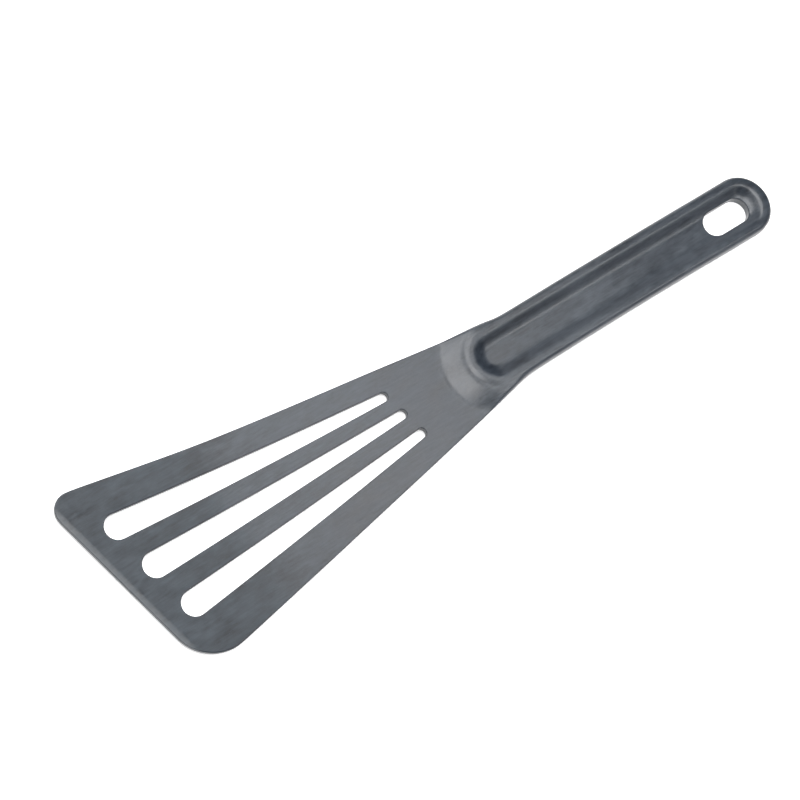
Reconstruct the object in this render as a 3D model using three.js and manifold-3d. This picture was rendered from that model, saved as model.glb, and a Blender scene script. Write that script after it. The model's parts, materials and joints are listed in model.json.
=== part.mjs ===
import * as THREE from 'three';
import { mergeVertices } from 'three/addons/utils/BufferGeometryUtils.js';
import Module from 'manifold-3d';

const wasm = await Module();
wasm.setup();

// Slotted turner, moulded in one piece. Millimetres, +Z up.
// Working frame: x runs from the front edge of the blade to the end of the handle,
// z = 0 is the top face of the blade. It is moved to the row frame at the end.

// blade
const BLADE_T = 2.07;          // thickness over the slotted part
const TIP_SLOPE = -0.217;      // front edge: x = TIP_SLOPE * y
const CORNER_UP = [-8.22, 37.9];   // acute front corner before rounding
const CORNER_LO = [8.63, -39.79];  // blunt front corner before rounding
const R_TIP_UP = 6.3;          // their plan radii
const R_TIP_LO = 16.0;
// +y side of the plan outline, from the front edge to the handle
const SIDE_UP = [
  [8, 35.33], [25, 32.1], [45, 28.47], [65, 25.45], [85, 22.78], [105, 20.25], [125, 17.68], [143, 15.3],
  [155, 14.0], [163.5, 13.2], [169.5, 12.32], [182, 12.28], [215, 12.42], [250, 12.4],
];
// -y side
const SIDE_LO = [
  [30, -36.06], [45.9, -33.34], [65.9, -29.89], [85.9, -26.34], [105.9, -22.8], [125.9, -19.22], [147, -15.32],
  [158.5, -13.12], [166.5, -11.65], [175, -11.28], [198, -11.08], [235, -11.15], [262, -11.5],
];
const EDGE_R = 0.45;           // moulded edge radius
const TIP_BEVEL_W = 2.7;       // bevel along the front edge, in plan
const TIP_BEVEL_D = 0.38;      // and its drop
// slots: centre and radius at the front end, centre and radius at the neck end, sag of the centre line
const SLOTS = [
  [9.41, 17.79, 4.65, 115.3, 8.81, 1.74, 0.55],
  [13.13, 0.18, 4.65, 117.6, 0.12, 1.74, 0.40],
  [16.94, -17.60, 4.65, 119.68, -9.06, 1.74, 0.35],
];
// handle
const BASE_Z = -3.04;          // underside of the handle
const RIM_Z = 3.3;             // top of the rims
const HANDLE_Y = 0.5;          // handle centre line
const END_CX = 280.28, END_CY = 0.31;  // centre of the round end
const END_R = 11.98;           // and its radius
const RIM_R = 1.6;             // rounding of the handle's upper edges
// ramp from blade to handle
const RAMP_X = 138.2;          // foot of the ramp on the centre line
const RAMP_L = 10.4;           // its length
const RAMP_R = 18.5;           // plan radius of its foot
// channel in the handle's top
const CH_X0 = 150.9;           // rounded end at rim level
const CH_X1 = 288.0;           // far end at rim level
const CH_HW = 7.9;             // half width at rim level
const CH_WALL = 3.0;           // plan width of the filleted wall
const CH_FLOOR = 0.44;         // floor level
const END_X = 282.0;           // foot of the sloping end wall
// hanging hole
const HOLE_X = 272.5, HOLE_HALF = 5.36, HOLE_R = 4.98;

function solid(geo) {
  const g = geo.clone();
  g.deleteAttribute('normal'); g.deleteAttribute('uv');
  const m = mergeVertices(g, 1e-4);
  const mesh = new wasm.Mesh({
    numProp: 3,
    vertProperties: new Float32Array(m.attributes.position.array),
    triVerts: new Uint32Array(m.index.array),
  });
  mesh.merge();
  return new wasm.Manifold(mesh);
}
function geometry(man) {
  const m = man.getMesh();
  const g = new THREE.BufferGeometry();
  g.setAttribute('position', new THREE.BufferAttribute(new Float32Array(m.vertProperties), 3));
  g.setIndex(new THREE.BufferAttribute(new Uint32Array(m.triVerts), 1));
  g.computeVertexNormals();
  return g;
}
// closed polygon with rounded corners: [x, y, radius, steps]
function rounded(pts) {
  const out = [];
  const n = pts.length;
  for (let i = 0; i < n; i++) {
    const [x, y, r = 0, k = 6] = pts[i];
    const p = new THREE.Vector2(x, y);
    if (!r) { out.push(p); continue; }
    const a = new THREE.Vector2(...pts[(i + n - 1) % n].slice(0, 2)).sub(p);
    const b = new THREE.Vector2(...pts[(i + 1) % n].slice(0, 2)).sub(p);
    a.normalize(); b.normalize();
    const half = Math.acos(a.dot(b)) / 2;
    const bis = a.clone().add(b).normalize();
    const c = p.clone().add(bis.multiplyScalar(r / Math.sin(half)));
    const t = r / Math.tan(half);
    const s = p.clone().add(a.multiplyScalar(t)).sub(c);
    const e = p.clone().add(b.multiplyScalar(t)).sub(c);
    let a0 = Math.atan2(s.y, s.x), a1 = Math.atan2(e.y, e.x);
    while (a1 - a0 > Math.PI) a1 -= 2 * Math.PI;
    while (a1 - a0 < -Math.PI) a1 += 2 * Math.PI;
    for (let j = 0; j <= k; j++) {
      const u = a0 + (a1 - a0) * j / k;
      out.push(new THREE.Vector2(c.x + r * Math.cos(u), c.y + r * Math.sin(u)));
    }
  }
  return out;
}
// prism between z0 and z1, its edges rounded by r both ends
function prism(pts, z0, z1, r = 0, seg = 2) {
  const g = new THREE.ExtrudeGeometry(new THREE.Shape(pts), {
    depth: z1 - z0 - 2 * r, bevelEnabled: r > 0, bevelThickness: r, bevelSize: r,
    bevelOffset: -r, bevelSegments: seg, steps: 1, curveSegments: 12,
  });
  g.translate(0, 0, z0 + r);
  return solid(g);
}
function arc(cx, cy, r, a0, a1, k) {
  const out = [];
  for (let i = 0; i <= k; i++) {
    const a = (a0 + (a1 - a0) * i / k) * Math.PI / 180;
    out.push([cx + r * Math.cos(a), cy + r * Math.sin(a)]);
  }
  return out;
}

// plan outline, counter-clockwise, starting at the acute front corner
const plan = [
  [...CORNER_UP, R_TIP_UP, 9],
  [...CORNER_LO, R_TIP_LO, 10],
  ...SIDE_LO,
  ...arc(END_CX, END_CY, END_R, -90, 90, 18),
  ...SIDE_UP.slice().reverse(),
];
const outline = rounded(plan);

// side profile: flat on top, underside thinning from the handle to the blade
function sideCut() {
  const s = new THREE.Shape([
    new THREE.Vector2(-30, BASE_Z - 5), new THREE.Vector2(150, BASE_Z - 5),
    new THREE.Vector2(150, BASE_Z), new THREE.Vector2(134, BASE_Z + 0.12),
    new THREE.Vector2(118, BASE_Z + 0.45), new THREE.Vector2(100, -BLADE_T - 0.12),
    new THREE.Vector2(84, -BLADE_T), new THREE.Vector2(-30, -BLADE_T),
  ]);
  const g = new THREE.ExtrudeGeometry(s, { depth: 140, bevelEnabled: false });
  g.rotateX(Math.PI / 2);          // profile now in x-z, extruded along -y
  g.translate(0, 70, 0);
  return solid(g);
}

// plate: blade, neck and the lower half of the handle
const plate = prism(outline, BASE_Z, 0, EDGE_R, 2).subtract(sideCut());

// upper half: handle outline, cut back to the ramp
const upper = prism(outline, BASE_Z, RIM_Z, RIM_R, 3);
const rampC = RAMP_X + RAMP_R;
const noseOuter = [
  ...arc(rampC, HANDLE_Y, RAMP_R, 125, 235, 16),
  [RAMP_X + 14, -60], [340, -60], [340, 60], [RAMP_X + 14, 60],
].map(([x, y]) => new THREE.Vector2(x, y));
function rampBlock() {
  const g = new THREE.ExtrudeGeometry(new THREE.Shape(noseOuter), {
    depth: 6, bevelEnabled: true, bevelThickness: RIM_Z + 0.9, bevelSize: RAMP_L,
    bevelOffset: -RAMP_L, bevelSegments: 4, steps: 1,
  });
  g.translate(0, 0, -6.9);
  return solid(g);
}
const handleTop = upper.intersect(rampBlock()).subtract(sideCut());
let body = plate.add(handleTop);

// channel
const chan = [
  ...arc(CH_X0 + CH_HW, HANDLE_Y, CH_HW, 90, 270, 16),
  ...arc(CH_X1 - CH_HW, HANDLE_Y, CH_HW, -90, 90, 16),
].map(([x, y]) => new THREE.Vector2(x, y));
function channel() {
  const g = new THREE.ExtrudeGeometry(new THREE.Shape(chan), {
    depth: 8, bevelEnabled: true, bevelThickness: RIM_Z - CH_FLOOR, bevelSize: CH_WALL,
    bevelOffset: -CH_WALL, bevelSegments: 3, steps: 1,
  });
  g.translate(0, 0, RIM_Z + 0.001);
  return solid(g);
}
// the wall beyond the hole is a longer slope: the channel keeps this wedge
function endWedge() {
  const s = new THREE.Shape([
    new THREE.Vector2(END_X, CH_FLOOR - 1), new THREE.Vector2(300, CH_FLOOR - 1),
    new THREE.Vector2(300, RIM_Z + 20), new THREE.Vector2(CH_X1 + 0.5, RIM_Z + 0.3),
    new THREE.Vector2(END_X, CH_FLOOR),
  ]);
  const g = new THREE.ExtrudeGeometry(s, { depth: 60, bevelEnabled: false });
  g.rotateX(Math.PI / 2);
  g.translate(0, 30, 0);
  return solid(g);
}
body = body.subtract(channel().subtract(endWedge()));

// hanging hole
const hole = [
  ...arc(HOLE_X - HOLE_HALF, 0, HOLE_R, 90, 270, 14),
  ...arc(HOLE_X + HOLE_HALF, 0, HOLE_R, -90, 90, 14),
].map(([x, y]) => new THREE.Vector2(x, y));
body = body.subtract(prism(hole, BASE_Z - 4, RIM_Z + 4));

// slots
function slotShape([xa, ya, ra, xb, yb, rb, sag]) {
  const l = Math.hypot(xb - xa, yb - ya), th = Math.atan2(yb - ya, xb - xa);
  const d = Math.acos((ra - rb) / l);
  const deg = 180 / Math.PI;
  const pa = arc(xa, ya, ra, (th + d) * deg, (th - d) * deg + 360, 14);
  const pb = arc(xb, yb, rb, (th - d) * deg, (th + d) * deg, 10);
  const mid = (p, q) => [0.25, 0.5, 0.75].map((t) => [p[0] + (q[0] - p[0]) * t, p[1] + (q[1] - p[1]) * t]);
  return [...pa, ...mid(pa[pa.length - 1], pb[0]), ...pb, ...mid(pb[pb.length - 1], pa[0])].map(([x, y]) => {
    const q = Math.min(1, Math.max(0, (x - xa) / (xb - xa)));
    return new THREE.Vector2(x, y - 4 * sag * q * (1 - q));
  });
}
for (const s of SLOTS) body = body.subtract(prism(slotShape(s), BASE_Z - 4, RIM_Z + 4));

// bevel along the front edge
function tipBevel() {
  const s = new THREE.Shape([
    new THREE.Vector2(-30, 0.6), new THREE.Vector2(-30, -TIP_BEVEL_D * 30 / TIP_BEVEL_W - TIP_BEVEL_D),
    new THREE.Vector2(0, -TIP_BEVEL_D), new THREE.Vector2(TIP_BEVEL_W, 0),
    new THREE.Vector2(TIP_BEVEL_W, 0.6),
  ]);
  const g = new THREE.ExtrudeGeometry(s, { depth: 160, bevelEnabled: false });
  g.rotateX(Math.PI / 2);
  g.translate(0, 80, 0);
  g.rotateZ(-Math.atan(TIP_SLOPE));
  return solid(g);
}
body = body.subtract(tipBevel());

// to the row frame: bounding-box bottom centre at the origin
const bb = body.boundingBox();
body = body.translate([-(bb.min[0] + bb.max[0]) / 2, -(bb.min[1] + bb.max[1]) / 2, -bb.min[2]]);

const nylon = new THREE.MeshStandardMaterial({ color: new THREE.Color(0.115, 0.128, 0.146), roughness: 0.42, metalness: 0.0 });
const mesh = new THREE.Mesh(geometry(body), nylon);
mesh.name = 'spatula_body';
const root = new THREE.Group();
root.name = 'grill_spatula';
root.add(mesh);
export default root;
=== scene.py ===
import json
import math

import bpy
import numpy as np
from mathutils import Matrix, Vector
from mathutils.geometry import delaunay_2d_cdt

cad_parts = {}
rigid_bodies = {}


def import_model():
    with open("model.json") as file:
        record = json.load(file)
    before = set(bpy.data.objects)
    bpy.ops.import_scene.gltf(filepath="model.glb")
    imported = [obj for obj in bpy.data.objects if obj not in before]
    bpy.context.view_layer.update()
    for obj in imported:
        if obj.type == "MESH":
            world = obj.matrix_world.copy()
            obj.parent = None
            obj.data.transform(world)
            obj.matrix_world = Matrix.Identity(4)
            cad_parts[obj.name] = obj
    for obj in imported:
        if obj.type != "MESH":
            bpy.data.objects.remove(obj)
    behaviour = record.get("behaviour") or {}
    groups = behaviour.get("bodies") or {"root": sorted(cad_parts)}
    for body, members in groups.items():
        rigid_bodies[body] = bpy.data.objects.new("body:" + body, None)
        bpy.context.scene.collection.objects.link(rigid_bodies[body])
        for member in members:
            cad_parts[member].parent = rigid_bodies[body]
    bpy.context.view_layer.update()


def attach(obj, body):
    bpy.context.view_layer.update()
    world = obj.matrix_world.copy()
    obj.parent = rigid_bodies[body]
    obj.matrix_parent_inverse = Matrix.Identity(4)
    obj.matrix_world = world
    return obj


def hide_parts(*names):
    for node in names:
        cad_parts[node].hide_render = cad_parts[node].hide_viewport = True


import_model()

# ---------------------------------------------------------------- dimensions
# Working frame, millimetres: x from the front edge to the handle's end, z = 0 on the blade's top.
# OFF takes it to the row frame.
OFF = np.array([-142.924, 0.429, 3.04])

BLADE_T = 2.07
BASE_Z = -3.04
TIP_SLOPE = -0.217
TIP_BEVEL_W = 2.7
TIP_BEVEL_D = 0.38
R_TIP_UP, R_TIP_LO = 6.3, 16.0
CORNER_UP = (-8.22, 37.9)   # where the sides would meet without the rounding
CORNER_LO = (8.63, -39.79)
EDGE_R = 0.45
TIP_R = 0.24
SLOT_R = 0.40
HOLE_EDGE_R = 0.38
SLOTS = [
    (9.41, 17.79, 4.65, 115.3, 8.81, 1.74, 0.55),
    (13.13, 0.18, 4.65, 117.6, 0.12, 1.74, 0.40),
    (16.94, -17.60, 4.65, 119.68, -9.06, 1.74, 0.35),
]
HOLE = (272.5, 0.0, 5.36, 4.98)

# handle
RIM_Z = 3.3            # crest of the rims
SHOULDER_Z = 2.70      # height the ramp reaches before the bead round the channel
HANDLE_R = 1.55        # outer rounding of the handle's top
HANDLE_RB = 0.95       # rounding of its underside
END_C = (280.28, 0.31)  # centre of the round end
END_R = 11.98
NECK_C = 159.8         # centre of the channel's round end at the neck
CHAN_Y = ((150.0, 0.62), (222.0, 0.60), (281.0, 0.30))
DEPTH_KNOTS = ((3.0, 0.0), (5.6, 38.0), (7.4, 38.0), (8.9, 0.0))   # distance from the channel's axis, wall angle
RAMP_C = (158.0, 0.3)
RAMP_FOOT = (20.0, 19.5)
RAMP_TOP = (10.6, 12.5)

UPPER = [(-8.22, 37.9), (-4, 37.32), (0, 36.7), (5, 35.88), (10, 34.95), (25, 32.1), (35, 30.24), (45, 28.47), (55, 26.9), (65, 25.45), (75, 24.08), (85, 22.78),
         (95, 21.5), (105, 20.25), (115, 19.0), (125, 17.68), (135, 16.34), (143, 15.3), (149, 14.58), (155, 14.0),
         (160, 13.6), (163.5, 13.2), (166.5, 12.65), (169.5, 12.32), (174, 12.25), (182, 12.28), (195, 12.38),
         (215, 12.42), (235, 12.44), (255, 12.38), (270, 12.27)]
LOWER = [(25.9, -36.77), (35.9, -35.07), (45.9, -33.34), (55.9, -31.62), (65.9, -29.89), (75.9, -28.12),
         (85.9, -26.34), (95.9, -24.57), (105.9, -22.8), (115.9, -21.02), (125.9, -19.22), (136.2, -17.32),
         (147, -15.32), (153, -14.18), (158.5, -13.12), (163, -12.2), (166.5, -11.65), (170, -11.4), (175, -11.28),
         (185, -11.16), (198, -11.08), (215, -11.07), (235, -11.15), (255, -11.38), (270, -11.65)]


def spline(pts, xs):
    """Monotone cubic through pts."""
    p = np.array(pts, float)
    x, y = p[:, 0], p[:, 1]
    h = np.diff(x)
    d = np.diff(y) / h
    m = np.empty(len(x))
    m[0], m[-1] = d[0], d[-1]
    for i in range(1, len(x) - 1):
        m[i] = 0.0 if d[i - 1] * d[i] <= 0 else (h[i - 1] + h[i]) * 3 / ((2 * h[i] + h[i - 1]) / d[i - 1] + (h[i] + 2 * h[i - 1]) / d[i])
    xs = np.asarray(xs, float)
    k = np.clip(np.searchsorted(x, xs) - 1, 0, len(h) - 1)
    t = (xs - x[k]) / h[k]
    return ((1 + 2 * t) * (1 - t) ** 2 * y[k] + t * (1 - t) ** 2 * h[k] * m[k]
            + t * t * (3 - 2 * t) * y[k + 1] + t * t * (t - 1) * h[k] * m[k + 1])


def smooth(t):
    t = np.clip(t, 0, 1)
    return t * t * (3 - 2 * t)


def ramp01(t):
    t = np.clip(t, 0, 1)
    return t ** 3 * (t * (6 * t - 15) + 10)


# ---------------------------------------------------------------- outline
def fillet(p, a, b, r, n):
    p, a, b = (np.array(v, float) for v in (p, a, b))
    u = (a - p) / np.linalg.norm(a - p)
    v = (b - p) / np.linalg.norm(b - p)
    half = math.acos(float(u @ v)) / 2
    bis = (u + v) / np.linalg.norm(u + v)
    c = p + bis * r / math.sin(half)
    t = r / math.tan(half)
    s, e = p + u * t - c, p + v * t - c
    a0, a1 = math.atan2(s[1], s[0]), math.atan2(e[1], e[0])
    while a1 - a0 > math.pi:
        a1 -= 2 * math.pi
    while a1 - a0 < -math.pi:
        a1 += 2 * math.pi
    ang = np.linspace(a0, a1, n)
    return np.stack([c[0] + r * np.cos(ang), c[1] + r * np.sin(ang)], 1)


def resample(poly, step):
    """Closed polyline resampled with a step length that depends on the place."""
    q = np.vstack([poly, poly[:1]])
    s = np.r_[0, np.cumsum(np.hypot(*np.diff(q, axis=0).T))]
    fine = np.linspace(0, s[-1], int(s[-1] / 0.05))
    fx, fy = np.interp(fine, s, q[:, 0]), np.interp(fine, s, q[:, 1])
    w = np.cumsum(np.r_[0, np.diff(fine) / step(fx[1:], fy[1:])])
    n = int(math.ceil(w[-1]))
    at = np.interp(np.arange(n) * w[-1] / n, w, fine)
    return np.stack([np.interp(at, fine, fx), np.interp(at, fine, fy)], 1)


def loop_normals(poly):
    """Unit normals to the left of the travel direction."""
    t = np.roll(poly, -1, 0) - np.roll(poly, 1, 0)
    t /= np.hypot(t[:, 0], t[:, 1])[:, None]
    return np.stack([-t[:, 1], t[:, 0]], 1)


def outline():
    tip = lambda y: (TIP_SLOPE * y, y)
    up = fillet(CORNER_UP, (0.8, spline(UPPER, [0.8])[0]), tip(0.0), R_TIP_UP, 60)
    lo = fillet(CORNER_LO, tip(0.0), (30.0, spline(LOWER, [30.0])[0]), R_TIP_LO, 70)
    xl = np.arange(max(lo[-1, 0] + 1.2, 25.9), 268, 1.0)
    lower = np.stack([xl, spline(LOWER, xl)], 1)
    ang = np.radians(np.linspace(-90, 90, 120))
    end = np.stack([END_C[0] + END_R * np.cos(ang), END_C[1] + END_R * np.sin(ang)], 1)
    xu = np.arange(268, up[0, 0] + 1.0, -1.0)
    upper = np.stack([xu, spline(UPPER, xu)], 1)
    poly = np.vstack([up, lo, lower, end, upper])

    def step(x, y):
        s = np.full_like(x, 1.6)
        s = np.where(x < 22, 0.7, s)
        s = np.where((x > 135) & (x < 178), 0.7, s)
        s = np.where(x > 279, 0.5, s)
        return s
    poly = resample(poly, step)
    # light smoothing of the joins between the pieces
    for _ in range(3):
        poly = 0.5 * poly + 0.25 * (np.roll(poly, 1, 0) + np.roll(poly, -1, 0))
    return poly


def slot_loop(xa, ya, ra, xb, yb, rb, sag, n1=26, n2=18, k=70):
    """Clockwise, so the material is on the left."""
    l = math.hypot(xb - xa, yb - ya)
    th = math.atan2(yb - ya, xb - xa)
    d = math.acos((ra - rb) / l)
    a = np.linspace(th + d, th - d + 2 * math.pi, n1)
    b = np.linspace(th - d, th + d, n2)
    pa = np.stack([xa + ra * np.cos(a), ya + ra * np.sin(a)], 1)
    pb = np.stack([xb + rb * np.cos(b), yb + rb * np.sin(b)], 1)
    t = np.linspace(0, 1, k)[1:-1, None]
    pts = np.vstack([pa, pa[-1] * (1 - t) + pb[0] * t, pb, pb[-1] * (1 - t) + pa[0] * t])
    q = np.clip((pts[:, 0] - xa) / (xb - xa), 0, 1)
    pts[:, 1] -= 4 * sag * q * (1 - q)
    return pts[::-1].copy()


def hole_loop(cx, cy, half, r, n=28, k=9):
    a = np.radians(np.linspace(90, 270, n))
    b = np.radians(np.linspace(-90, 90, n))
    pa = np.stack([cx - half + r * np.cos(a), cy + r * np.sin(a)], 1)
    pb = np.stack([cx + half + r * np.cos(b), cy + r * np.sin(b)], 1)
    t = np.linspace(0, 1, k)[1:-1, None]
    pts = np.vstack([pa, pa[-1] * (1 - t) + pb[0] * t, pb, pb[-1] * (1 - t) + pa[0] * t])
    return pts[::-1].copy()


def inside(poly, p):
    x, y = p[:, 0], p[:, 1]
    c = np.zeros(len(p), bool)
    x0, y0 = poly[:, 0], poly[:, 1]
    x1, y1 = np.roll(x0, -1), np.roll(y0, -1)
    for i in range(len(poly)):
        if y0[i] == y1[i]:
            continue
        m = (y0[i] > y) != (y1[i] > y)
        c[m] ^= x[m] < (x1[i] - x0[i]) * (y[m] - y0[i]) / (y1[i] - y0[i]) + x0[i]
    return c


def dist(poly, p):
    """Distance from points to a closed polyline."""
    a, b = poly, np.roll(poly, -1, 0)
    d = b - a
    l2 = (d ** 2).sum(1)
    out = np.full(len(p), 1e9)
    for i in range(0, len(p), 2000):
        q = p[i:i + 2000, None, :] - a[None]
        t = np.clip((q * d[None]).sum(2) / l2, 0, 1)
        r = q - t[..., None] * d[None]
        out[i:i + 2000] = np.sqrt((r ** 2).sum(2).min(1))
    return out


# ---------------------------------------------------------------- top face
WW = np.linspace(0, 20, 4001)
_ang = np.interp(WW, [k[0] for k in DEPTH_KNOTS], [k[1] for k in DEPTH_KNOTS], left=0, right=0)
for _ in range(2):   # soften the changes of slope
    _ang = np.convolve(np.pad(_ang, 60, mode="edge"), np.ones(121) / 121, mode="valid")
_rise = np.r_[0, np.cumsum(np.tan(np.radians((_ang[1:] + _ang[:-1]) / 2)) * np.diff(WW))]
CHAN_DEPTH = float(_rise[-1])
SS = np.linspace(-0.3, 1.6, 2001)
_sl = np.interp(SS, [-0.06, 0.22, 0.86, 1.12], [0, 1, 0.86, 0], left=0, right=0)
for _ in range(2):
    _sl = np.convolve(np.pad(_sl, 40, mode="edge"), np.ones(81) / 81, mode="valid")
_s = np.r_[0, np.cumsum((_sl[1:] + _sl[:-1]) / 2 * np.diff(SS))]
_s /= _s[-1]


def chan_y(x):
    return np.interp(x, [k[0] for k in CHAN_Y], [k[1] for k in CHAN_Y])


def far_a(w):
    return np.interp(w, [0.0, 3.0, 8.9, 12.0, 30.0], [0.0, 2.0, 7.9, 12.0, 30.0])


def chan_w(x, y):
    """Distance from the channel's axis, going round its two ends."""
    u = np.abs(y - chan_y(x))
    w = u.copy()
    n = x < NECK_C
    w[n] = np.hypot(x[n] - NECK_C, u[n])
    f = x > END_C[0]
    if f.any():
        dx, uu = x[f] - END_C[0], u[f]
        lo, hi = np.full(dx.shape, 1e-3), np.full(dx.shape, 20.0)
        for _ in range(40):
            m = (lo + hi) / 2
            a = np.maximum(far_a(m), 1e-6)
            g = (dx / a) ** 2 + (uu / m) ** 2
            lo = np.where(g > 1, m, lo)
            hi = np.where(g > 1, hi, m)
        w[f] = (lo + hi) / 2
    return w


def ramp_t(x, y):
    u = np.abs(y - RAMP_C[1])
    dx = np.clip(RAMP_C[0] - x, 0, None)
    lo, hi = np.full(x.shape, -6.0), np.full(x.shape, 1.7)
    for _ in range(40):
        m = (lo + hi) / 2
        a = RAMP_FOOT[0] + (RAMP_TOP[0] - RAMP_FOOT[0]) * m
        b = RAMP_FOOT[1] + (RAMP_TOP[1] - RAMP_FOOT[1]) * m
        g = (dx / np.maximum(a, 1e-6)) ** 2 + (u / np.maximum(b, 1e-6)) ** 2
        hi = np.where(g > 1, m, hi)
        lo = np.where(g > 1, lo, m)
    return (lo + hi) / 2


def face_z(x, y):
    x, y = np.asarray(x, float), np.asarray(y, float)
    z = np.zeros_like(x)
    h = x > 132
    if h.any():
        xh, yh = x[h], y[h]
        t = ramp_t(xh, yh)
        zz = SHOULDER_Z * np.interp(t, SS, _s)
        w = chan_w(xh, yh)
        zz += (RIM_Z - SHOULDER_Z) * smooth((12.4 - w) / 2.6)
        zz -= CHAN_DEPTH - np.interp(w, WW, _rise)
        z[h] = zz
    dn = (x - TIP_SLOPE * y) / math.hypot(1, TIP_SLOPE)
    q = np.clip(1 - dn / TIP_BEVEL_W, 0, None) ** 1.25
    z -= TIP_BEVEL_D * (np.sqrt(q * q + 0.05) - np.sqrt(0.05))
    return z


def base_z(x, y):
    t = ramp01((x - 84) / (150 - 84))
    return -BLADE_T + (BASE_Z + BLADE_T) * t


def cdt(points, edges, keep):
    # a frame of far points keeps the outline off the hull
    far = [(-60, -90), (60, -95), (180, -95), (340, -90), (345, 0), (340, 90), (180, 95), (60, 95), (-60, 90), (-65, 0)]
    pts = [Vector((float(p[0]), float(p[1]))) for p in list(points) + far]
    v, e, f, *_rest = delaunay_2d_cdt(pts, edges, [], 0, 1e-6)
    orig = _rest[0]
    v = np.array([(p.x, p.y) for p in v])
    f = np.array([t for t in f if len(t) == 3])
    c = v[f].mean(1)
    f = f[keep(c)]
    a = v[f]
    area = np.cross(a[:, 1] - a[:, 0], a[:, 2] - a[:, 0])
    f[area < 0] = f[area < 0][:, ::-1]
    return v, f[np.abs(area) > 1e-9], orig


class Sheet:
    """Points of one side of the moulding, with constraint lines and the drop of each point below the face."""

    def __init__(self):
        self.p, self.d, self.e = [], [], []

    def add(self, pts, drop, closed=True, line=True):
        s = len(self.p)
        self.p += [tuple(q) for q in pts]
        self.d += list(np.broadcast_to(drop, (len(pts),)))
        n = len(pts)
        if line:
            self.e += [(s + i, s + (i + 1) % n) for i in range(n if closed else n - 1)]
        return s


OUT = outline()
OUT_N = loop_normals(OUT)            # the outline runs counter-clockwise, so this points into the material
if not inside(OUT, OUT[:1] + OUT_N[:1] * 0.5)[0]:
    OUT_N = -OUT_N
CUTS = [slot_loop(*s) for s in SLOTS] + [hole_loop(*HOLE)]
CUT_N = [loop_normals(c) for c in CUTS]
for i, c in enumerate(CUTS):
    if inside(c, c[:1] + CUT_N[i][:1] * 0.2)[0]:
        CUT_N[i] = -CUT_N[i]

dn_out = (OUT[:, 0] - TIP_SLOPE * OUT[:, 1]) / math.hypot(1, TIP_SLOPE)
tipness = 1 - smooth((dn_out - 0.3) / 4.0)
handleness = smooth((OUT[:, 0] - 141) / 24)
R_TOP = EDGE_R * (1 - tipness) + TIP_R * tipness
R_TOP = R_TOP + (HANDLE_R - EDGE_R) * handleness
R_BOT = EDGE_R * (1 - tipness) + TIP_R * tipness + (HANDLE_RB - EDGE_R) * handleness
DRAFT = 0.16 * handleness


def rounding(r, n):
    ph = np.linspace(0, math.pi / 2, n)
    return [(r * (1 - math.cos(a)), r * (1 - math.sin(a))) for a in ph]


def side(sheet, top):
    """Adds the rounded rims of the outline and of every opening."""
    r = R_TOP if top else R_BOT
    starts = []
    for a in np.linspace(0, math.pi / 2, 8):
        p = OUT + OUT_N * (DRAFT + r * (1 - math.cos(a)))[:, None]
        starts.append(sheet.add(p, r * (1 - math.sin(a))))
    sheet.add(OUT + OUT_N * (DRAFT + r + 0.14)[:, None], 0.0)
    rims = [starts[0]]
    for i, c in enumerate(CUTS):
        rr = SLOT_R if i < len(SLOTS) else HOLE_EDGE_R
        first = None
        for a in np.linspace(0, math.pi / 2, 6):
            s = sheet.add(c + CUT_N[i] * rr * (1 - math.cos(a)), rr * (1 - math.sin(a)))
            first = s if first is None else first
        sheet.add(c + CUT_N[i] * (rr + 0.12), 0.0)
        rims.append(first)
    return rims


def clear_of_rims(p, top, margin=0.25):
    """True for points well inside the flat part of the face."""
    ok = inside(OUT, p)
    d_out = dist(OUT, p)
    r = HANDLE_R + 0.35 if top else HANDLE_RB + 0.35
    need = np.where(p[:, 0] > 141, r, EDGE_R + 0.35) + margin
    ok &= d_out > need
    for i, c in enumerate(CUTS):
        rr = (SLOT_R if i < len(SLOTS) else HOLE_EDGE_R) + 0.12
        ok &= ~inside(c, p) & (dist(c, p) > rr + margin)
    return ok


def nested(w):
    """The curve at distance w from the channel's axis."""
    xs = np.r_[np.arange(NECK_C, END_C[0], 1.6), END_C[0]]
    n = max(10, int(w * math.pi / 0.55))
    th = np.linspace(math.pi / 2, 3 * math.pi / 2, n)
    neck = np.stack([NECK_C + w * np.cos(th), chan_y(NECK_C) + w * np.sin(th)], 1)
    low = np.stack([xs, chan_y(xs) - w], 1)[1:-1]
    a = float(far_a(np.array([w]))[0])
    n2 = max(8, int(w * math.pi / 0.6))
    th = np.linspace(-math.pi / 2, math.pi / 2, n2)
    far = np.stack([END_C[0] + a * np.cos(th), chan_y(END_C[0]) + w * np.sin(th)], 1)
    high = np.stack([xs, chan_y(xs) + w], 1)[1:-1][::-1]
    return np.vstack([neck, low, far, high])


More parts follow.
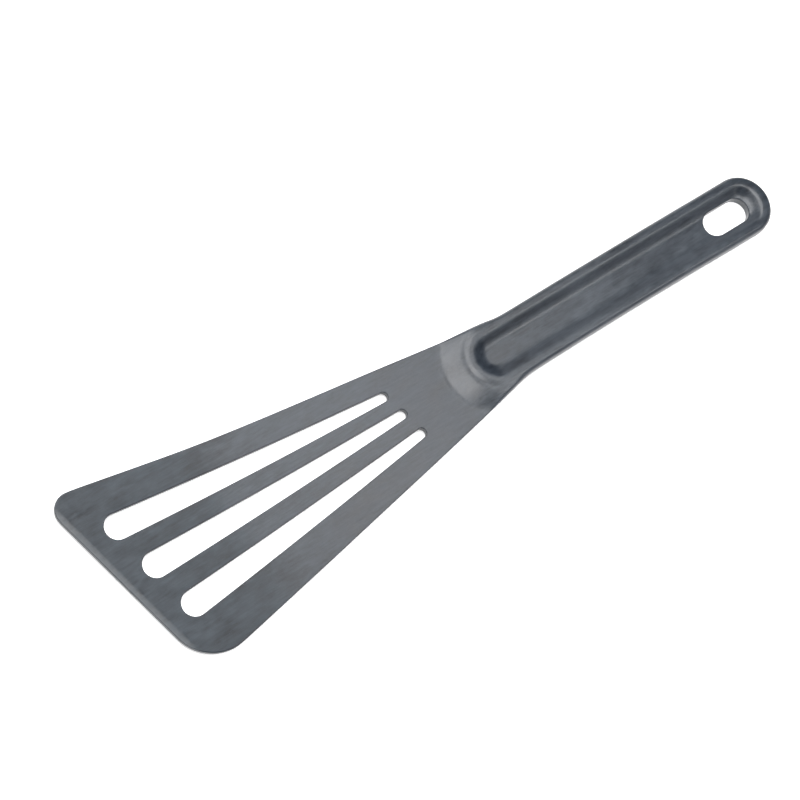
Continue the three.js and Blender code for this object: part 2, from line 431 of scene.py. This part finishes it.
def top_sheet():
    sh = Sheet()
    rims = side(sh, True)
    for w in (3.0, 3.5, 4.0, 4.5, 4.95, 5.4, 5.85, 6.3, 6.75, 7.2, 7.6, 7.95, 8.3, 8.65, 9.0, 9.4, 9.8, 10.2, 10.6, 11.0, 11.4, 11.8, 12.2, 12.6):
        c = nested(w)
        ok = clear_of_rims(c, True, 0.10)
        if ok.all():
            sh.add(c, 0.0)
            continue
        # cut the curve into the runs that are clear
        k = int(np.argmin(ok))
        c, ok = np.roll(c, -k, 0), np.roll(ok, -k)
        run = []
        for q, o in zip(list(c) + [c[0]], list(ok) + [False]):
            if o:
                run.append(q)
            else:
                if len(run) > 1:
                    sh.add(np.array(run), 0.0, closed=False)
                run = []
    # tip bevel: lines along its top edge
    yy = np.arange(-30, 34, 1.0)
    for dn in (TIP_BEVEL_W - 0.55, TIP_BEVEL_W - 0.3, TIP_BEVEL_W - 0.15, TIP_BEVEL_W, TIP_BEVEL_W + 0.15, TIP_BEVEL_W + 0.3, TIP_BEVEL_W + 0.55):
        c = np.stack([TIP_SLOPE * yy + dn * math.hypot(1, TIP_SLOPE), yy], 1)
        c = c[clear_of_rims(c, True, 0.3)]
        if len(c) > 1:
            sh.add(c, 0.0, closed=False)
    have = np.array(sh.p)
    fill = []
    for x0, x1, st in ((-10, 12, 1.0), (12, 134, 2.2), (134, 162, 0.6), (162, 296, 1.5)):
        gx = np.arange(x0, x1, st)
        gy = np.arange(-40, 40, st)
        X, Y = np.meshgrid(gx, gy)
        X[1::2] += st / 2
        p = np.stack([X.ravel(), Y.ravel()], 1)
        p = p[clear_of_rims(p, True, 0.3 * st)]
        fill.append(p[apart(p, have, 0.45 * st)])
    sh.add(np.vstack(fill), 0.0, line=False)
    return sh, rims


def apart(p, have, r):
    from mathutils.kdtree import KDTree
    kd = KDTree(len(have))
    for i, q in enumerate(have):
        kd.insert((float(q[0]), float(q[1]), 0.0), i)
    kd.balance()
    return np.array([kd.find((float(q[0]), float(q[1]), 0.0))[2] > r for q in p], bool) if len(p) else np.zeros(0, bool)


def bottom_sheet():
    sh = Sheet()
    rims = side(sh, False)
    have = np.array(sh.p)
    fill = []
    for x0, x1, st in ((-10, 84, 2.5), (84, 152, 1.5), (152, 296, 2.5)):
        gx, gy = np.arange(x0, x1, st), np.arange(-40, 40, st)
        X, Y = np.meshgrid(gx, gy)
        X[1::2] += st / 2
        p = np.stack([X.ravel(), Y.ravel()], 1)
        p = p[clear_of_rims(p, False, 0.3 * st)]
        fill.append(p[apart(p, have, 0.45 * st)])
    sh.add(np.vstack(fill), 0.0, line=False)
    return sh, rims


def keep(c):
    ok = inside(OUT, c)
    for q in CUTS:
        ok &= ~inside(q, c)
    return ok


def build_mesh():
    V, F = [], []
    rim_ids = []
    for make, surf, sign in ((top_sheet, face_z, 1), (bottom_sheet, base_z, -1)):
        sh, rims = make()
        v, f, orig = cdt(sh.p, sh.e, keep_sheet(sh, rims))
        drop = np.zeros(len(v))
        back = {}
        for i, o in enumerate(orig):
            o = [k for k in o if k < len(sh.p)]
            if o:
                drop[i] = sh.d[o[0]]
                for k in o:
                    back[k] = i
        z = surf(v[:, 0], v[:, 1]) - sign * drop
        s = len(V)
        V += [(a, b, c) for (a, b), c in zip(v, z)]
        f = f + s
        F += [tuple(t) if sign > 0 else tuple(t[::-1]) for t in f]
        lens = [len(OUT)] + [len(c) for c in CUTS]
        rim_ids.append([[s + back[r + i] for i in range(n)] for r, n in zip(rims, lens)])
    # walls: top rim, holding line, widest line, holding line, bottom rim
    V = [tuple(p) for p in V]
    loops = [OUT] + CUTS
    for li, poly in enumerate(loops):
        top, bot = rim_ids[0][li], rim_ids[1][li]
        n = len(poly)
        zt = np.array([V[i][2] for i in top])
        zb = np.array([V[i][2] for i in bot])
        rows = [top]
        pos_t = np.array([V[i][:2] for i in top])
        for frac, out in ((0.06, 0.1), (0.5, 1.0), (0.94, 0.1)):
            z = zt + (zb - zt) * frac
            xy = pos_t.copy()
            if li == 0:
                xy = pos_t + (poly - pos_t) * out
            s = len(V)
            V += [(a[0], a[1], c) for a, c in zip(xy, z)]
            rows.append(list(range(s, s + n)))
        rows.append(bot)
        for a, b in zip(rows[:-1], rows[1:]):
            for i in range(n):
                j = (i + 1) % n
                F.append((a[i], b[i], b[j], a[j]) if li == 0 else (a[i], b[i], b[j], a[j]))
    return V, F


def keep_sheet(sh, rims):
    """Keeps triangles inside the sheet's own outermost loops."""
    lens = [len(OUT)] + [len(c) for c in CUTS]
    polys = [np.array(sh.p[r:r + n]) for r, n in zip(rims, lens)]

    def k(c):
        ok = inside(polys[0], c)
        for q in polys[1:]:
            ok &= ~inside(q, c)
        return ok
    return k


def make_body():
    V, F = build_mesh()
    co = (np.array(V) + OFF) / 1000.0
    me = bpy.data.meshes.new("turner_body")
    me.from_pydata([tuple(p) for p in co], [], F)
    me.update()
    ob = bpy.data.objects.new("turner_body", me)
    bpy.context.scene.collection.objects.link(ob)
    import bmesh
    bm = bmesh.new()
    bm.from_mesh(me)
    bmesh.ops.remove_doubles(bm, verts=bm.verts, dist=1e-8)
    bmesh.ops.delete(bm, geom=[v for v in bm.verts if not v.link_faces], context="VERTS")
    bmesh.ops.recalc_face_normals(bm, faces=bm.faces)
    bad = sum(1 for e in bm.edges if len(e.link_faces) != 2)
    print("body:", len(bm.verts), "verts", len(bm.faces), "faces", bad, "open edges")
    bm.to_mesh(me)
    bm.free()
    for p in me.polygons:
        p.use_smooth = True
    return ob


body = make_body()


# ---------------------------------------------------------------- material
NYLON = (0.0253, 0.0313, 0.0402)     # diffuse colour of the glass-filled nylon
NYLON_ROUGH = 0.34
FRONT_LINE = (47.0 - 142.924) / 1000   # where the painted shade on the front of the blade ends


def nylon():
    """Glass-filled nylon: cloudy pigment, fibres drawn out along the flow, a fine moulded grain."""
    m = bpy.data.materials.new("nylon_grey")
    m.use_nodes = True
    nt = m.node_tree
    n, l = nt.nodes, nt.links
    bsdf = n["Principled BSDF"]
    bsdf.inputs["IOR"].default_value = 1.52
    tc = n.new("ShaderNodeTexCoord")

    def noise(scale, stretch, detail, rough, distortion=0.0, shift=0.0):
        mp = n.new("ShaderNodeMapping")
        mp.inputs["Scale"].default_value = stretch
        mp.inputs["Location"].default_value = (shift, shift * 0.7, -shift)
        l.new(tc.outputs["Object"], mp.inputs["Vector"])
        t = n.new("ShaderNodeTexNoise")
        t.inputs["Scale"].default_value = scale
        t.inputs["Detail"].default_value = detail
        t.inputs["Roughness"].default_value = rough
        t.inputs["Distortion"].default_value = distortion
        l.new(mp.outputs["Vector"], t.inputs["Vector"])
        return t.outputs["Fac"]

    def math_node(op, a, b):
        k = n.new("ShaderNodeMath")
        k.operation = op
        for i, v in enumerate((a, b)):
            if isinstance(v, (int, float)):
                k.inputs[i].default_value = v
            else:
                l.new(v, k.inputs[i])
        return k.outputs[0]

    def spread(fac, lo, hi, a, b):
        r = n.new("ShaderNodeMapRange")
        r.inputs["From Min"].default_value = lo
        r.inputs["From Max"].default_value = hi
        r.inputs["To Min"].default_value = a
        r.inputs["To Max"].default_value = b
        l.new(fac, r.inputs["Value"])
        return r.outputs["Result"]

    cloud = noise(46.0, (0.6, 1.0, 1.0), 3.0, 0.55, 0.4)
    mottle = noise(300.0, (0.45, 1.0, 1.0), 5.0, 0.62, 0.3, 0.31)
    fibre = noise(1500.0, (0.09, 1.0, 1.0), 3.0, 0.6, 0.0, 0.77)
    speck = noise(2600.0, (1.0, 1.0, 1.0), 2.0, 0.5, 0.0, 0.13)

    # painted shade: the front of the blade is made darker, up to a soft uneven line across it
    sep = n.new("ShaderNodeSeparateXYZ")
    l.new(tc.outputs["Object"], sep.inputs["Vector"])
    line = math_node("ADD", sep.outputs["X"], spread(cloud, 0.3, 0.7, -0.003, 0.003))
    front = n.new("ShaderNodeMapRange")
    front.interpolation_type = "SMOOTHSTEP"
    front.inputs["From Min"].default_value = FRONT_LINE - 0.010
    front.inputs["From Max"].default_value = FRONT_LINE + 0.009
    front.inputs["To Min"].default_value = 1.0
    front.inputs["To Max"].default_value = 0.0
    l.new(line, front.inputs["Value"])
    front = front.outputs["Result"]

    # pigment: darker and lighter clouds, streaks along the flow, light fibre ends at the surface
    tone = math_node("ADD", spread(cloud, 0.3, 0.7, 0.0, 0.34), spread(mottle, 0.3, 0.7, 0.0, 0.38))
    tone = math_node("ADD", tone, spread(fibre, 0.3, 0.7, 0.0, 0.28))
    mix = n.new("ShaderNodeValToRGB")
    mix.color_ramp.elements[0].position = 0.22
    mix.color_ramp.elements[0].color = (NYLON[0] * 0.42, NYLON[1] * 0.44, NYLON[2] * 0.48, 1)
    mix.color_ramp.elements[1].position = 0.80
    mix.color_ramp.elements[1].color = (NYLON[0] * 1.60, NYLON[1] * 1.56, NYLON[2] * 1.50, 1)
    mid = mix.color_ramp.elements.new(0.5)
    mid.color = (*NYLON, 1)
    l.new(tone, mix.inputs["Fac"])
    pale = n.new("ShaderNodeMix")
    pale.data_type = "RGBA"
    pale.blend_type = "MIX"
    l.new(spread(speck, 0.60, 0.74, 0.0, 0.38), pale.inputs["Factor"])
    l.new(mix.outputs["Color"], pale.inputs["A"])
    pale.inputs["B"].default_value = (NYLON[0] * 1.9, NYLON[1] * 1.85, NYLON[2] * 1.75, 1)
    # painted shade: multiplies the pigment darker over the front of the blade
    front_painted_shade = n.new("ShaderNodeMix")
    front_painted_shade.data_type = "RGBA"
    front_painted_shade.blend_type = "MULTIPLY"
    l.new(front, front_painted_shade.inputs["Factor"])
    l.new(pale.outputs["Result"], front_painted_shade.inputs["A"])
    front_painted_shade.inputs["B"].default_value = (0.46, 0.60, 0.68, 1)
    l.new(front_painted_shade.outputs["Result"], bsdf.inputs["Base Color"])

    rough = math_node("ADD", spread(mottle, 0.3, 0.7, NYLON_ROUGH - 0.05, NYLON_ROUGH + 0.045), spread(cloud, 0.3, 0.7, -0.02, 0.03))
    rough = math_node("ADD", rough, spread(fibre, 0.3, 0.7, -0.012, 0.012))
    l.new(math_node("MAXIMUM", rough, 0.285), bsdf.inputs["Roughness"])

    # surface: slight waviness from cooling, flow lines, fine grain
    height = math_node("ADD", math_node("MULTIPLY", mottle, 0.55), math_node("MULTIPLY", fibre, 0.22))
    height = math_node("ADD", height, math_node("MULTIPLY", speck, 0.14))
    bump = n.new("ShaderNodeBump")
    bump.inputs["Strength"].default_value = 0.30
    bump.inputs["Distance"].default_value = 0.00030
    l.new(height, bump.inputs["Height"])
    l.new(bump.outputs["Normal"], bsdf.inputs["Normal"])
    return m


body.data.materials.append(nylon())
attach(body, "root")
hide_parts("spatula_body")


# ---------------------------------------------------------------- stage
def floor():
    me = bpy.data.meshes.new("floor")
    s = 3.0
    me.from_pydata([(-s, -s, -0.0002), (s, -s, -0.0002), (s, s, -0.0002), (-s, s, -0.0002)], [], [(0, 1, 2, 3)])
    ob = bpy.data.objects.new("floor", me)
    bpy.context.scene.collection.objects.link(ob)
    m = bpy.data.materials.new("floor")
    m.use_nodes = True
    b = m.node_tree.nodes["Principled BSDF"]
    b.inputs["Base Color"].default_value = (0.95, 0.95, 0.95, 1)
    b.inputs["Roughness"].default_value = 0.9
    b.inputs["Emission Color"].default_value = (1, 1, 1, 1)
    b.inputs["Emission Strength"].default_value = 0.42
    me.materials.append(m)
    return ob


floor()


def area(name, pos, target, size, power, color=(1, 1, 1)):
    d = bpy.data.lights.new(name, "AREA")
    d.shape = "RECTANGLE"
    d.size, d.size_y = size
    d.energy = power
    d.color = color
    o = bpy.data.objects.new(name, d)
    bpy.context.scene.collection.objects.link(o)
    o.location = pos
    o.rotation_euler = (Vector(target) - Vector(pos)).to_track_quat("-Z", "Y").to_euler()
    o.visible_camera = False
    return o


def far_light(name, el, az, power):
    e, a = math.radians(el), math.radians(az)
    area(name, (2 * math.cos(a) * math.cos(e), 2 * math.sin(a) * math.cos(e), 2 * math.sin(e)), (0, 0, 0), (0.9, 0.9), power)


# a softbox over the handle, smaller ones round it, and large soft panels further off
area("box_main", (0.2, 0.05, 0.55), (0.08, 0.02, 0), (0.2, 0.2), 0.80)
area("box_back", (0.2, 0.35, 0.55), (0.08, 0.14, 0), (0.2, 0.2), 0.988)
area("box_front", (0.2, -0.25, 0.55), (0.08, -0.10, 0), (0.2, 0.2), 0.825)
area("box_side", (0.4, -0.25, 0.55), (0.16, -0.10, 0), (0.2, 0.2), 0.706)
area("box_blade", (-0.15, 0.28, 0.55), (0, 0, 0), (0.2, 0.2), 1.15)
far_light("panel_left", 75, 180, 26.0)
far_light("panel_back", 55, 90, 12.7)
far_light("panel_low", 35, 300, 3.6)
far_light("panel_edge", 15, 60, 2.48)
w = bpy.data.worlds.new("studio")
bpy.context.scene.world = w
w.use_nodes = True
w.node_tree.nodes["Background"].inputs[0].default_value = (1, 1, 1, 1)
w.node_tree.nodes["Background"].inputs[1].default_value = 0.02


# ---------------------------------------------------------------- camera
def camera():
    az, el, roll = (math.radians(v) for v in (-71.92225288250032, 65.0, 38.96890860730515))
    back = Vector((math.sin(az) * math.cos(el), -math.cos(az) * math.cos(el), math.sin(el)))
    right = Vector((math.cos(az), math.sin(az), 0))
    up = back.cross(right)
    right, up = right * math.cos(roll) + up * math.sin(roll), -right * math.sin(roll) + up * math.cos(roll)
    target = Vector((119.851 + OFF[0], 4.854 + OFF[1], OFF[2])) / 1000
    pos = target + back * (0.857808 * 2400 / 2.45 / 1000)
    cd = bpy.data.cameras.new("camera")
    cd.sensor_width = 36
    cd.lens = 108
    cd.clip_end = 20
    co = bpy.data.objects.new("camera", cd)
    bpy.context.scene.collection.objects.link(co)
    m = Matrix.Identity(4)
    for i in range(3):
        m[i][0], m[i][1], m[i][2], m[i][3] = right[i], up[i], back[i], pos[i]
    co.matrix_world = m
    bpy.context.scene.camera = co


camera()
bpy.context.scene.view_settings.view_transform = "Standard"
